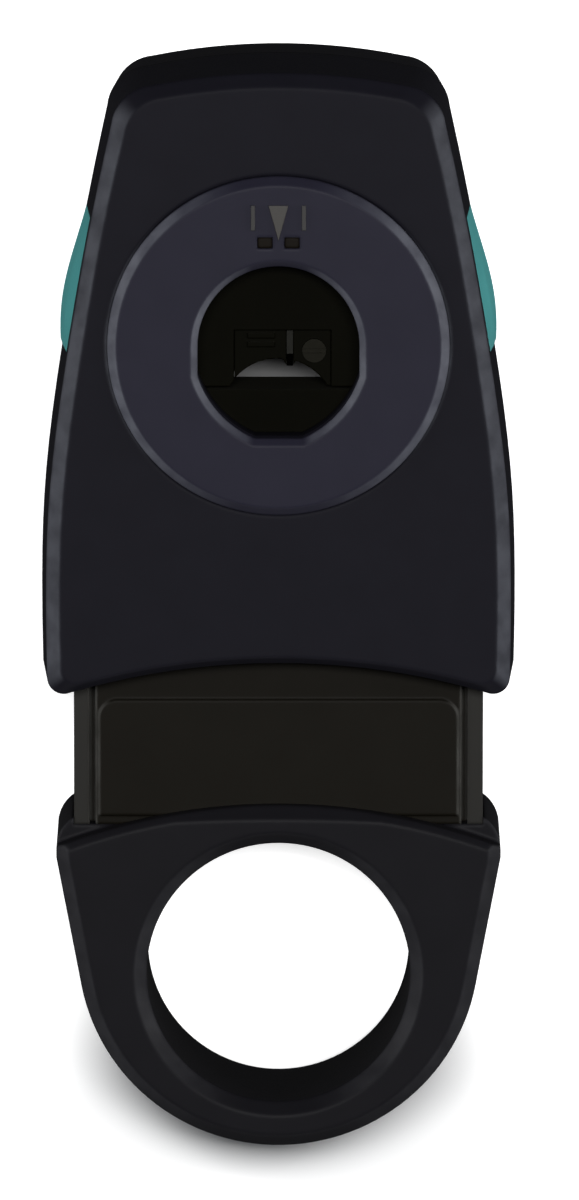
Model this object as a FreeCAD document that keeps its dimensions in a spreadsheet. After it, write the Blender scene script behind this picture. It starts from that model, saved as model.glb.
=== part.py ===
import FreeCAD, Part
import math
import os
import Sketcher
from FreeCAD import Vector

# Cable stripper with finger ring, in millimetres.
# The tool lies on its back: X to the right, Y towards the head, Z out of the front face.
# Pushing the ring towards the housing lifts the upper jaw off the lower one.

doc = FreeCAD.newDocument("CableStripper")
sheet = doc.addObject("Spreadsheet::Sheet", "Dims")

SIZES = [
    ("housing_depth", 23.5, "both shells together, front to back"),
    ("head_reach", 53.15, "top of the crowned head above the middle of the tool"),
    ("mouth_reach", 8.55, "lower corners of the housing, before rounding, below the middle of the tool"),
    ("head_half_width", 15.9, "housing at the head corners, half"),
    ("shoulder_half_width", 18.6, "housing where the grips begin, half"),
    ("waist_half_width", 20.9, "housing where the grips end, half"),
    ("mouth_half_width", 23.0, "housing at its widest, half"),
    ("widest_height", 1.0, "housing's widest place above the middle of the tool"),
    ("widest_span", 9.0, "length over which the housing keeps about this width"),
    ("widest_ease", 0.25, "how much narrower the housing is above this length"),
    ("mouth_ease", 0.15, "how much narrower the housing is at its lower corners"),
    ("crown_radius", 62.0, "arc of the head"),
    ("head_corner", 4.0, "rounding of the head corners"),
    ("mouth_corner", 1.6, "rounding of the lower corners"),
    ("mouth_arch", 71.0, "arc of the lower edge of the housing"),
    ("side_draft", 0.6, "how far the side walls lean in from mid depth to either face"),
    ("edge_bevel", 1.2, "bevel of the housing's front and back edges"),
    ("core_wall", 2.2, "wall left in front of and behind the coring pockets"),
    ("core_rib", 1.6, "ribs between the coring pockets"),
    ("mouth_lip", 4.0, "plain lip of the mouth, before the coring pockets"),
    ("hole_height", 26.3, "centre of the cable hole above the middle of the tool"),
    ("hole_radius", 7.8, "cable hole"),
    ("hole_side_drop", 2.9, "end of the hole's straight sides below its centre"),
    ("hole_drop", 9.0, "flat bottom of the hole below its centre"),
    ("hole_flat", 4.6, "width of the flat bottom of the hole"),
    ("hole_slope_arc", 10.0, "arc of the slopes between side and bottom"),
    ("hole_bevel", 0.6, "bevel round the cable hole"),
    ("disc_radius", 16.5, "guide disc"),
    ("disc_rise", 1.0, "guide disc above the front face"),
    ("disc_seat", 1.4, "guide disc sunk in the front face"),
    ("disc_bevel", 0.8, "bevel of the disc's rim"),
    ("mark_width", 5.3, "raised mark on the disc, over its two bars"),
    ("mark_bar", 0.4, "width of these bars"),
    ("mark_pointer", 1.9, "width of the pointer between them"),
    ("mark_low", 11.4, "lower end of the bars above the hole's centre"),
    ("mark_high", 13.8, "upper end of the bars above the hole's centre"),
    ("mark_tip", 10.4, "tip of the pointer above the hole's centre"),
    ("mark_rise", 0.3, "raised mark above the disc"),
    ("notch_low", 9.6, "lower edge of the notches below the mark, above the hole's centre"),
    ("notch_height", 1.1, "notches, low to high"),
    ("notch_length", 1.5, "notches, side to side"),
    ("notch_offset", 1.3, "notches to either side of the middle"),
    ("notch_depth", 0.4, "notches in the disc"),
    ("seat_gap", 0.05, "fit of a piece in its recess"),
    ("running_gap", 0.3, "clearance round the slider"),
    ("stroke", 10.0, "travel of the slider"),
    ("stem_half_width", 19.85, "stem, half"),
    ("stem_depth", 12.6, "stem, front to back"),
    ("stem_top", 5.0, "shoulder of the stem above the middle of the tool"),
    ("stem_corner", 0.5, "bevel of the stem's shoulder corners"),
    ("rail_width", 1.5, "side rails of the stem"),
    ("groove_width", 0.6, "grooves beside the rails"),
    ("groove_depth", 1.6, "depth of these grooves"),
    ("panel_rise", 0.35, "label panel above the stem's front"),
    ("panel_top", 9.3, "upper edge of the panel below the middle of the tool"),
    ("panel_corner", 1.8, "rounding of the panel's corners"),
    ("leg_width", 4.2, "legs of the slider, beside the jaws"),
    ("window_half_width", 8.4, "window between the legs, half"),
    ("window_foot", 4.0, "lower end of the window above the middle of the tool"),
    ("crossbar_height", 3.6, "crossbar over the jaw"),
    ("crossbar_corner", 1.8, "rounding of the crossbar's ends"),
    ("jaw_depth", 7.7, "jaws, front to back"),
    ("jaw_front", 7.75, "front of the jaws before mid depth"),
    ("jaw_front_gap", 0.3, "front of the jaws behind the front wall"),
    ("anvil_drop", 4.9, "top of the lower jaw below the hole's centre"),
    ("anvil_height", 6.7, "lower jaw, top to bottom"),
    ("anvil_foot", 2.0, "height of the lower jaw's foot"),
    ("lip_gap", 0.3, "upper jaw above the lower jaw when closed"),
    ("aperture", 2.95, "height of the closed opening between the jaws"),
    ("arch_radius", 5.5, "arch of the upper jaw"),
    ("jaw_height", 12.9, "upper jaw, lips to crossbar"),
    ("carrier_width", 9.4, "blade carrier"),
    ("carrier_offset", 0.4, "carrier's middle to the right of the hole's"),
    ("carrier_top", 0.9, "top of the carrier above the hole's centre"),
    ("carrier_depth", 4.8, "blade carrier, front to back"),
    ("carrier_sink", 0.6, "carrier's face behind the jaw's face"),
    ("slit_offset", 1.1, "slitting blade to the right of the middle"),
    ("slit_thickness", 0.6, "slitting blade"),
    ("slit_reach", 1.0, "slitting blade's tip below the arch"),
    ("slit_shoulder", 0.4, "slitting blade's shoulder above the arch"),
    ("slit_tip_depth", 1.7, "slitting blade's tip behind the carrier's face"),
    ("slit_tip_length", 0.5, "length of this tip, front to back"),
    ("nose_width", 1.9, "nose of the carrier beside the slitting blade, at its root"),
    ("nose_drop", 0.7, "tip of this nose below the arch"),
    ("blade_floor", 0.8, "floor of the carrier behind the slitting blade"),
    ("rib_height", 0.5, "ribs of the carrier"),
    ("rib_drop", 0.35, "upper rib below the carrier's top"),
    ("rib_pitch", 0.85, "rib to rib"),
    ("rib_left", 3.0, "ribs' left end to the left of the middle"),
    ("rib_right", 0.35, "ribs' right end to the left of the middle"),
    ("blade_screw_offset", 3.45, "blade screw to the right of the middle"),
    ("blade_screw_head", 1.15, "radius of the blade screw's head"),
    ("blade_screw_rise", 0.45, "height of this head"),
    ("blade_screw_length", 3.6, "blade screw in the carrier"),
    ("cross_thickness", 0.6, "cross-cut blade"),
    ("cross_reach", 0.45, "cross-cut blade's edge below the arch"),
    ("cross_height", 6.1, "cross-cut blade, edge to back"),
    ("cross_half_width", 6.5, "cross-cut blade, half"),
    ("cross_grind", 1.2, "height of the cross-cut blade's ground face"),
    ("cross_edge", 0.12, "thickness left at the edge"),
    ("plate_thickness", 1.8, "clamp plate"),
    ("plate_half_width", 7.4, "clamp plate, half"),
    ("plate_rise", 1.8, "clamp plate above the cross-cut blade's edge"),
    ("plate_margin", 0.8, "clamp plate's screws above the cross-cut blade"),
    ("plate_screw_bite", 1.7, "clamp plate's screws in the jaw"),
    ("hole_wall", 1.0, "wall of the jaw left below its screw holes"),
    ("small_screw_offset", 5.2, "small screws to either side of the middle"),
    ("small_shank", 0.9, "radius of the small screws' shanks"),
    ("small_head", 1.6, "radius of the small screws' heads"),
    ("small_head_height", 1.2, "height of the small screws' heads"),
    ("dowel_radius", 1.0, "dowel pins of the lower jaw"),
    ("dowel_offset", 4.4, "these pins to either side of the middle"),
    ("pillar_half_width", 7.0, "pillar behind the lower jaw, half"),
    ("pillar_height", 4.3, "pillar, top to bottom"),
    ("spring_offset", 16.4, "springs to either side of the middle"),
    ("spring_radius", 2.3, "springs, outside"),
    ("spring_wire", 0.7, "spring wire"),
    ("spring_turns", 7, "turns of a spring"),
    ("spring_pocket", 12.0, "depth of the spring pockets in the stem"),
    ("spring_fit", 0.2, "clearance round a spring in its pocket"),
    ("rod_radius", 1.3, "guide rods"),
    ("rod_hold", 3.0, "length of a rod held in the shells"),
    ("top_gap", 1.0, "stem's shoulder to the shells at the end of the travel"),
    ("screw_shank", 1.0, "radius of the housing screws' shanks"),
    ("screw_head", 1.6, "radius of the housing screws' heads"),
    ("screw_head_height", 1.7, "height of these heads"),
    ("screw_sink", 1.2, "heads below the back face"),
    ("screw_bite", 7.0, "length of a screw in the front shell"),
    ("head_screw_x", 14.5, "upper housing screws to either side"),
    ("head_screw_drop", 15.2, "upper housing screws below the head"),
    ("lower_screw_x", 17.0, "lower housing screws to either side"),
    ("lower_screw_y", 21.6, "lower housing screws above the middle of the tool"),
    ("grip_top", 38.3, "upper end of the grips above the middle of the tool"),
    ("grip_foot", 25.2, "lower end of the grips above the middle of the tool"),
    ("grip_bulge", 0.75, "grips proud of the housing"),
    ("grip_sink", 1.7, "grips sunk in the housing"),
    ("grip_margin", 3.2, "grips' ends behind the front and before the back face"),
    ("ring_depth", 18.0, "finger ring, front to back"),
    ("ring_radius", 19.5, "round end of the finger ring"),
    ("ring_centre", 33.65, "centre of the round end below the middle of the tool"),
    ("bore_radius", 12.8, "finger bore"),
    ("bore_centre", 36.0, "centre of the finger bore below the middle of the tool"),
    ("ear_half_width", 21.57, "ring at its ears, half"),
    ("ear_drop", 24.6, "ears below the middle of the tool"),
    ("ring_top", 19.5, "top of the ring's shoulder below the middle of the tool"),
    ("ring_top_arc", 200.0, "arc of the shoulder between the ears"),
    ("ear_corner", 3.6, "rounding of the ears"),
    ("ring_bevel", 1.2, "bevel of the ring's edges"),
    ("shoulder_arc", 60.0, "arc of the ring's faces where they meet the stem"),
    ("shoulder_step", 2.6, "depth of these faces before the ears"),
    ("socket_depth", 2.1, "stem's end in the ring's shoulder"),
    ("tongue_length", 5.6, "tongues of the stem in the ring"),
    ("tongue_width", 5.2, "width of these tongues"),
    ("tongue_depth", 9.0, "tongues, front to back"),
    ("tongue_offset", 15.8, "tongues to either side of the middle"),
    ("pin_radius", 1.25, "ring pins"),
    ("pin_skin", 2.2, "wall of the ring left before the pins"),
]

for row, (alias, number, note) in enumerate(SIZES, start=1):
    sheet.set(f"A{row}", note)
    sheet.set(f"B{row}", str(number))
    sheet.setAlias(f"B{row}", alias)
doc.recompute()


def size(alias):
    """A driving dimension as a number."""
    return float(sheet.get(alias))


# Places used by several pieces, as expressions on the sheet.
MID = "Dims.housing_depth / 2"
STEM_FRONT = f"({MID} + Dims.stem_depth / 2)"
STEM_BACK = f"({MID} - Dims.stem_depth / 2)"
CHANNEL_FRONT = f"({STEM_FRONT} + Dims.panel_rise + Dims.running_gap)"
CHANNEL_BACK = f"({STEM_BACK} - Dims.running_gap)"
ABUTMENT = "(Dims.stem_top + Dims.stroke + Dims.top_gap)"
JAW_FRONT = f"({MID} + Dims.jaw_front)"
JAW_WALL = f"({JAW_FRONT} + Dims.jaw_front_gap)"
JAW_BACK = f"({JAW_FRONT} - Dims.jaw_depth)"
ANVIL_TOP = "(Dims.hole_height - Dims.anvil_drop)"
ANVIL_FOOT = f"({ANVIL_TOP} - Dims.anvil_height)"
DOWEL_Y = f"({ANVIL_FOOT} + Dims.pillar_height / 2)"
LIPS = f"({ANVIL_TOP} + Dims.lip_gap)"
CROWN = f"({ANVIL_TOP} + Dims.aperture)"
ARCH_CENTRE = f"({CROWN} - Dims.arch_radius)"
JAW_TOP = f"({LIPS} + Dims.jaw_height)"
CROSSBAR_TOP = f"({JAW_TOP} + Dims.crossbar_height)"
LEG_OUTSIDE = "(Dims.window_half_width + Dims.leg_width)"
MOUTH_TOP = "(-Dims.mouth_reach + Dims.mouth_arch - sqrt(Dims.mouth_arch ^ 2 - Dims.mouth_half_width ^ 2))"
RING_TOP = "(-Dims.ring_top)"
SOCKET = "(-Dims.ring_top - Dims.socket_depth)"
TONGUE_END = f"({SOCKET} - Dims.tongue_length)"


def evaluate(expression):
    """The value of an expression on the sheet."""
    return float(sheet.evalExpression(expression))


# Sketch helpers: every corner, centre and radius is bound to the sheet.

def bind(sketch, constraint, expression):
    """Add a constraint whose value follows an expression."""
    number = sketch.addConstraint(constraint)
    name = f"size{number}"
    sketch.renameConstraint(number, name)
    sketch.setExpression(f".Constraints.{name}", expression)


def pin_point(sketch, geometry, point, place):
    """Fix a point of the sketch at a pair of expressions."""
    for kind, expression in zip(("DistanceX", "DistanceY"), place):
        start = Sketcher.Constraint(kind, -1, 1, geometry, point, evaluate(expression))
        bind(sketch, start, expression)


def draw_path(sketch, corners, arcs=None):
    """Open path through corners; arcs maps an edge's index to (radius, side), side 1 bulging right."""
    arcs = arcs or {}
    places = [Vector(evaluate(x), evaluate(y), 0) for x, y in corners]
    ends = []
    for index, (start, end) in enumerate(zip(places, places[1:])):
        if index in arcs:
            radius, side = arcs[index]
            half = (end - start) / 2
            across = Vector(half.y, -half.x, 0).normalize() * side
            rise = math.sqrt(evaluate(radius) ** 2 - half.Length ** 2)
            centre = start + half - across * rise
            angles = [math.atan2(p.y - centre.y, p.x - centre.x) for p in (start, end)]
            if side < 0:
                angles.reverse()
            circle = Part.Circle(centre, Vector(0, 0, 1), evaluate(radius))
            edge = sketch.addGeometry(Part.ArcOfCircle(circle, *angles))
            bind(sketch, Sketcher.Constraint("Radius", edge, evaluate(radius)), radius)
            ends.append((edge, 1, 2) if side > 0 else (edge, 2, 1))
        else:
            edge = sketch.addGeometry(Part.LineSegment(start, end))
            ends.append((edge, 1, 2))
    for (edge, first, last), place in zip(ends, corners):
        pin_point(sketch, edge, first, place)
    for (edge, first, last), (following, start, end) in zip(ends, ends[1:]):
        sketch.addConstraint(Sketcher.Constraint("Coincident", edge, last, following, start))
    return ends


def draw_outline(sketch, corners, arcs=None):
    """Closed outline through corners, with arcs as for a path."""
    ends = draw_path(sketch, corners + corners[:1], arcs)
    edge, last = ends[-1][0], ends[-1][2]
    sketch.addConstraint(Sketcher.Constraint("Coincident", edge, last, ends[0][0], ends[0][1]))


def draw_box(sketch, left, right, low, high):
    """Rectangle between four expressions."""
    draw_outline(sketch, [(left, low), (right, low), (right, high), (left, high)])


def draw_circle(sketch, x, y, radius):
    """Circle at a pair of expressions."""
    centre = Vector(evaluate(x), evaluate(y), 0)
    circle = sketch.addGeometry(Part.Circle(centre, Vector(0, 0, 1), evaluate(radius)))
    pin_point(sketch, circle, 3, (x, y))
    bind(sketch, Sketcher.Constraint("Radius", circle, evaluate(radius)), radius)


def draw_keyhole(sketch, centre_y):
    """Outline of the cable hole: round top, straight sides, curved slopes, narrow flat bottom."""
    low = f"({centre_y}) - Dims.hole_drop"
    side = f"({centre_y}) - Dims.hole_side_drop"
    radius, height = size("hole_radius"), evaluate(centre_y)
    first = sketch.GeometryCount
    circle = Part.Circle(Vector(0, height, 0), Vector(0, 0, 1), radius)
    corners = [
        ("-Dims.hole_radius", centre_y),
        ("-Dims.hole_radius", side),
        ("-Dims.hole_flat / 2", low),
        ("Dims.hole_flat / 2", low),
        ("Dims.hole_radius", side),
        ("Dims.hole_radius", centre_y),
    ]
    draw_path(sketch, corners, {1: ("Dims.hole_slope_arc", 1), 3: ("Dims.hole_slope_arc", 1)})
    last = sketch.GeometryCount - 1
    top = sketch.addGeometry(Part.ArcOfCircle(circle, 0, math.pi))
    pin_point(sketch, top, 3, ("0", centre_y))
    sketch.addConstraint(Sketcher.Constraint("Coincident", first, 1, top, 2))
    sketch.addConstraint(Sketcher.Constraint("Coincident", last, 2, top, 1))


# Body helpers.

def new_body(name, place=("0", "0", "0")):
    """An empty body, placed by three expressions."""
    body = doc.addObject("PartDesign::Body", name)
    body.Label = name
    for axis, expression in zip("xyz", place):
        body.setExpression(f"Placement.Base.{axis}", expression)
    return body


def new_sketch(body, role, offset="0"):
    """A sketch on one of the body's own planes, moved off it by an expression."""
    sketch = body.newObject("Sketcher::SketchObject", f"{body.Name}_sketch")
    plane = next(item for item in body.Origin.OriginFeatures if item.Role == role)
    sketch.AttachmentSupport = [(plane, "")]
    sketch.MapMode = "FlatFace"
    sketch.setExpression("AttachmentOffset.Base.z", offset)
    doc.recompute()
    return sketch


def pad(body, sketch, length, symmetric=False):
    """Solid from a sketch."""
    feature = body.newObject("PartDesign::Pad", f"{body.Name}_pad")
    feature.Profile = sketch
    feature.setExpression("Length", length)
    feature.SideType = "Symmetric" if symmetric else "One side"
    doc.recompute()
    return feature


def pocket(body, sketch, length, reversed_cut=False, symmetric=False):
    """Cut from a sketch; it must take something away."""
    before = body.Shape.Volume
    feature = body.newObject("PartDesign::Pocket", f"{body.Name}_pocket")
    feature.Profile = sketch
    feature.Reversed = reversed_cut
    feature.SideType = "Symmetric" if symmetric else "One side"
    feature.setExpression("Length", length)
    doc.recompute()
    if feature.Shape.Volume >= before - 1e-6:
        raise RuntimeError(f"{feature.Name} cuts nothing")
    return feature


def edges_where(shape, test):
    """Names of the edges whose points all pass a test."""
    names = []
    for number, edge in enumerate(shape.Edges, start=1):
        points = edge.discretize(5)
        if all(test(point) for point in points):
            names.append(f"Edge{number}")
    return names


def dress(body, kind, amount, test):
    """Fillet or chamfer the edges whose points pass a test."""
    base = body.Tip
    names = edges_where(base.Shape, test)
    if not names:
        raise RuntimeError(f"{body.Name} has no edges for its {kind}")
    feature = body.newObject(f"PartDesign::{kind}", f"{body.Name}_{kind}")
    feature.Base = (base, names)
    feature.setExpression("Radius" if kind == "Fillet" else "Size", amount)
    doc.recompute()
    return feature


def near(value, target):
    """True where two lengths are the same."""
    return abs(value - target) < 1e-4


# Part helpers.

def new_box(name, left, right, low, high, back, front):
    """Box between six expressions."""
    box = doc.addObject("Part::Box", name)
    for side, start, end in (("Length", left, right), ("Width", low, high), ("Height", back, front)):
        box.setExpression(side, f"({end}) - ({start})")
    for axis, start in zip("xyz", (left, low, back)):
        box.setExpression(f"Placement.Base.{axis}", start)
    return box


def new_cylinder(name, radius, length, place, along_y=False):
    """Cylinder along Z, or along Y, from a place given by three expressions."""
    cylinder = doc.addObject("Part::Cylinder", name)
    cylinder.setExpression("Radius", radius)
    cylinder.setExpression("Height", length)
    if along_y:
        cylinder.Placement.Rotation = FreeCAD.Rotation(Vector(1, 0, 0), -90)
    for axis, expression in zip("xyz", place):
        cylinder.setExpression(f"Placement.Base.{axis}", expression)
    return cylinder


def join(name, pieces):
    """Fuse several objects, or keep them side by side where they don't touch."""
    fused = doc.addObject("Part::MultiFuse", name)
    fused.Shapes = pieces
    fused.Refine = True
    return fused


def cut(name, base, tool):
    """One object less another."""
    result = doc.addObject("Part::Cut", name)
    result.Base = base
    result.Tool = tool
    result.Refine = True
    return result


def both_sides(make):
    """Make a piece on the left and on the right; make gets a name part and a sign."""
    return [make("left", "-"), make("right", "")]


# Plan of the housing: a smooth side line through four widths, a crowned head, an arched mouth.

def side_stations(inset, lift):
    """Points of the right side line, head to mouth, drawn in by inset; lift raises its lower end."""
    head_edge = size("head_reach") - inset
    half = size("head_half_width") - inset
    crown_drop = size("crown_radius") - math.sqrt(size("crown_radius") ** 2 - half ** 2)
    mouth_edge = lift - size("mouth_reach")
    widest = size("mouth_half_width") - inset
    lower = size("widest_height")
    return [
        Vector(half, head_edge - crown_drop, 0),
        Vector(size("shoulder_half_width") - inset, size("grip_top"), 0),
        Vector(size("waist_half_width") - inset, size("grip_foot"), 0),
        Vector(widest - size("widest_ease"), lower + size("widest_span"), 0),
        Vector(widest, lower, 0),
        Vector(widest - size("mouth_ease"), mouth_edge, 0),
    ]


def corner_arc(corner, start, end, radius):
    """Arc that rounds a corner, between a point on each of its two sides."""
    inward = ((start - corner).normalize() + (end - corner).normalize()).normalize()
    half = (start - corner).getAngle(end - corner) / 2
    return Part.Arc(start, corner + inward * (radius / math.sin(half) - radius), end)


def rounded_side(inset, lift):
    """Right side line between its two rounded corners: head corner, side, mouth corner."""
    stations = side_stations(inset, lift)
    side = Part.BSplineCurve()
    side.interpolate(stations)
    head, foot = stations[0], stations[-1]
    crown, mouth = size("crown_radius"), size("mouth_arch") + lift
    crown_slope = math.asin(head.x / crown)
    mouth_slope = math.asin(foot.x / mouth)
    head_turn = size("head_corner") * math.tan((math.pi / 2 - crown_slope) / 2)
    mouth_turn = size("mouth_corner") * math.tan((math.pi / 2 + mouth_slope) / 2)
    first = side.parameterAtDistance(head_turn, side.FirstParameter)
    last = side.parameterAtDistance(-mouth_turn, side.LastParameter)
    side.segment(first, last)
    on_crown = Vector(crown * math.sin(crown_slope - head_turn / crown), 0, 0)
    on_crown.y = head.y + crown * (math.cos(crown_slope - head_turn / crown) - math.cos(crown_slope))
    on_mouth = Vector(mouth * math.sin(mouth_slope - mouth_turn / mouth), 0, 0)
    on_mouth.y = foot.y + mouth * (math.cos(mouth_slope - mouth_turn / mouth) - math.cos(mouth_slope))
    upper = corner_arc(head, on_crown, side.StartPoint, size("head_corner"))
    lower = corner_arc(foot, side.EndPoint, on_mouth, size("mouth_corner"))
    return [upper.toShape(), side.toShape(), lower.toShape()]


def plan_wire(inset, lift, height):
    """Closed plan of the housing at a height, its sides and head drawn in, its mouth lifted."""
    right = rounded_side(inset, lift)
    left = [edge.mirror(Vector(0, 0, 0), Vector(1, 0, 0)) for edge in right]
    upper, lower = right[0].firstVertex().Point, right[-1].lastVertex().Point
    arch = size("mouth_arch") + lift
    arch_top = lower.y + arch - math.sqrt(arch ** 2 - lower.x ** 2)
    top = Part.Arc(Vector(-upper.x, upper.y, 0), Vector(0, size("head_reach") - inset, 0), upper)
    mouth = Part.Arc(lower, Vector(0, arch_top, 0), Vector(-lower.x, lower.y, 0))
    edges = [top.toShape()] + right + [mouth.toShape()] + left[::-1]
    wire = Part.Wire(Part.__sortEdges__(edges))
    wire.translate(Vector(0, 0, height))
    return wire


def shell_form(face_height):
    """Half of the housing as a solid: leaning walls from mid depth up, then the bevel of one face."""
    middle, bevel, draft = size("housing_depth") / 2, size("edge_bevel"), size("side_draft")
    share = 1 - bevel / middle
    wires = [
        plan_wire(0, 0, middle),
        plan_wire(draft * share, 0, middle + (face_height - middle) * share),
        plan_wire(draft + bevel, bevel, face_height),
    ]
    return Part.makeLoft(wires, True, True)


def add_form(name, face_height):
    """The plain outer form of one shell."""
    form = doc.addObject("Part::Feature", name)
    form.Shape = shell_form(face_height)
    return form


def passage_tool(name, back, front):
    """Cable hole as a solid between two depths."""
    body = new_body(name)
    sketch = new_sketch(body, "XY_Plane", back)
    draw_keyhole(sketch, "Dims.hole_height")
    pad(body, sketch, f"({front}) - ({back})")
    return body


# Grip inserts: a bulged side piece, flush with the housing at its front and back ends.
# Its swell is a share of a sine wave, and leans towards the head.

SWELL_SPAN = 0.9
SWELL_LEAN = 1.3


def grip_shape(side, grow):
    """Solid of one grip insert; grow enlarges it into the recess of the shells."""
    middle = size("housing_depth") / 2
    half = middle - size("grip_margin") + grow
    stations = side_stations(0, 0)
    line = Part.BSplineCurve()
    line.interpolate(stations)
    start, end = (line.parameter(stations[index]) for index in (2, 1))
    layers, steps = 4, 6
    wires = []
    for layer in range(layers + 1):
        height = half * (2 * layer / layers - 1)
        lean = size("side_draft") * abs(height) / middle
        share = 1 - (height / half) ** 2
        outer = []
        for step in range(steps + 1):
            part = step / steps
            on_line = line.value(start + (end - start) * part)
            swell = size("grip_bulge") * share * math.sin(SWELL_SPAN * math.pi * (1 - part) ** SWELL_LEAN)
            x = on_line.x - lean + swell + grow
            outer.append(Vector(side * x, on_line.y + grow * (2 * part - 1), middle + height))
        inward = Vector(-side * (size("grip_sink") + 2 * grow), 0, 0)
        curve = Part.BSplineCurve()
        curve.interpolate(outer)
        corners = [outer[-1], outer[-1] + inward, outer[0] + inward, outer[0]]
        edges = [curve.toShape()]
        edges += [Part.LineSegment(*pair).toShape() for pair in zip(corners, corners[1:])]
        wires.append(Part.Wire(edges))
    return Part.makeLoft(wires, True, True)


def add_grip(name, side, grow):
    """Grip insert or its recess as an object."""
    grip = doc.addObject("Part::Feature", name)
    grip.Shape = grip_shape(side, grow)
    return grip


grips = [add_grip("grip_insert_left", -1, 0.0), add_grip("grip_insert_right", 1, 0.0)]
recesses = [add_grip("recess_left", -1, size("seat_gap")), add_grip("recess_right", 1, size("seat_gap"))]


# Front and rear shells: the plain form less the slider's channels, coring, hole and screw holes.

front_form = add_form("front_form", size("housing_depth"))
back_form = add_form("back_form", 0.0)
BELOW_MOUTH = "(-Dims.mouth_reach - Dims.stroke)"
CHANNEL_TOP = f"({CROSSBAR_TOP} + Dims.stroke + Dims.running_gap)"
STEM_CHANNEL = "(Dims.stem_half_width + Dims.running_gap)"
LEG_CHANNEL = f"({LEG_OUTSIDE} + Dims.running_gap)"
HEAD_SCREW_Y = "(Dims.head_reach - Dims.head_screw_drop)"
SCREW_PLACES = [
    ("-Dims.head_screw_x", HEAD_SCREW_Y),
    ("Dims.head_screw_x", HEAD_SCREW_Y),
    ("-Dims.lower_screw_x", "Dims.lower_screw_y"),
    ("Dims.lower_screw_x", "Dims.lower_screw_y"),
]


def channel_tools(name, back, front):
    """Room for the slider between two depths."""
    return [
        new_box(f"{name}_stem_channel", f"-{STEM_CHANNEL}", STEM_CHANNEL, BELOW_MOUTH, ABUTMENT,
                back, front),
        new_box(f"{name}_leg_channel", f"-{LEG_CHANNEL}", LEG_CHANNEL, f"{ABUTMENT} - 1", CHANNEL_TOP,
                back, front),
    ]


def coring_tools(name, back, front):
    """Pockets that leave ribs for the stem to slide on."""
    low = f"({MOUTH_TOP} + Dims.mouth_lip)"
    width = "((Dims.stem_half_width * 2 - Dims.core_rib * 5) / 4)"
    pockets = []
    for index in range(4):
        left = f"(-Dims.stem_half_width + Dims.core_rib + {index} * ({width} + Dims.core_rib))"
        pockets.append(new_box(f"{name}_core_{index}", left, f"{left} + {width}", low,
                               f"{ABUTMENT} - Dims.core_rib", back, front))
    return pockets


def rod_tools(name):
    """Seats of the spring guide rods."""
    radius = "Dims.rod_radius + Dims.seat_gap"
    return both_sides(lambda side, sign: new_cylinder(
        f"{name}_rod_seat_{side}", radius, "Dims.rod_hold + 1",
        (f"{sign}Dims.spring_offset", f"{ABUTMENT} - 1", MID), along_y=True))


def screw_tools(name, parts):
    """Holes at the four housing screws; parts lists (radius, length, depth at which it starts)."""
    return [
        new_cylinder(f"{name}_{index}_{step}", radius, length, (x, y, start))
        for index, (x, y) in enumerate(SCREW_PLACES)
        for step, (radius, length, start) in enumerate(parts)
    ]


def front_shell():
    """Front shell with the seat of the guide disc."""
    jaw_room = "(Dims.window_half_width + Dims.running_gap)"
    seat = "Dims.housing_depth - Dims.disc_seat"
    tools = channel_tools("front", f"{MID} - 1", CHANNEL_FRONT)
    tools += coring_tools("front", MID, "Dims.housing_depth - Dims.core_wall")
    tools += rod_tools("front")
    tools += screw_tools("front_pilot", [
        ("Dims.screw_shank + Dims.seat_gap", "Dims.screw_bite + Dims.running_gap + 1", f"{MID} - 1"),
    ])
    tools += [
        new_box("front_jaw_channel", f"-{jaw_room}", jaw_room, ANVIL_FOOT, CHANNEL_TOP, MID, JAW_WALL),
        new_cylinder("front_disc_seat", "Dims.disc_radius + Dims.seat_gap", "Dims.disc_seat + 1",
                     ("0", "Dims.hole_height", seat)),
        passage_tool("front_passage", MID, "Dims.housing_depth + 1"),
    ]
    return cut("front_shell", front_form, join("front_tools", tools + recesses))


def rear_shell():
    """Rear shell with the pillar that carries the lower jaw."""
    sink = "(Dims.screw_sink + Dims.screw_head_height)"
    tools = channel_tools("rear", CHANNEL_BACK, f"{MID} + 1")
    tools += coring_tools("rear", "Dims.core_wall", MID)
    tools += rod_tools("rear")
    tools += screw_tools("rear_screw_hole", [
        ("Dims.screw_head + Dims.seat_gap", f"{sink} + 1", "-1"),
        ("Dims.screw_shank + Dims.seat_gap", "Dims.housing_depth", "0"),
    ])
    tools.append(passage_tool("rear_passage", "-1", MID))
    hollow = cut("rear_hollow", back_form, join("rear_tools", tools + recesses))
    pillar = new_box("pillar", "-Dims.pillar_half_width", "Dims.pillar_half_width", ANVIL_FOOT,
                     f"{ANVIL_FOOT} + Dims.pillar_height", f"{CHANNEL_BACK} - 1", JAW_BACK)
    pins = both_sides(lambda side, sign: new_cylinder(
        f"pillar_hole_{side}", "Dims.dowel_radius", "Dims.housing_depth / 2",
        (f"{sign}Dims.dowel_offset", DOWEL_Y, STEM_BACK)))
    return cut("rear_shell", join("rear_block", [hollow, pillar]), join("pillar_holes", pins))


front = front_shell()
rear = rear_shell()


# Guide disc: a bevelled plate with the cable hole.

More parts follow.
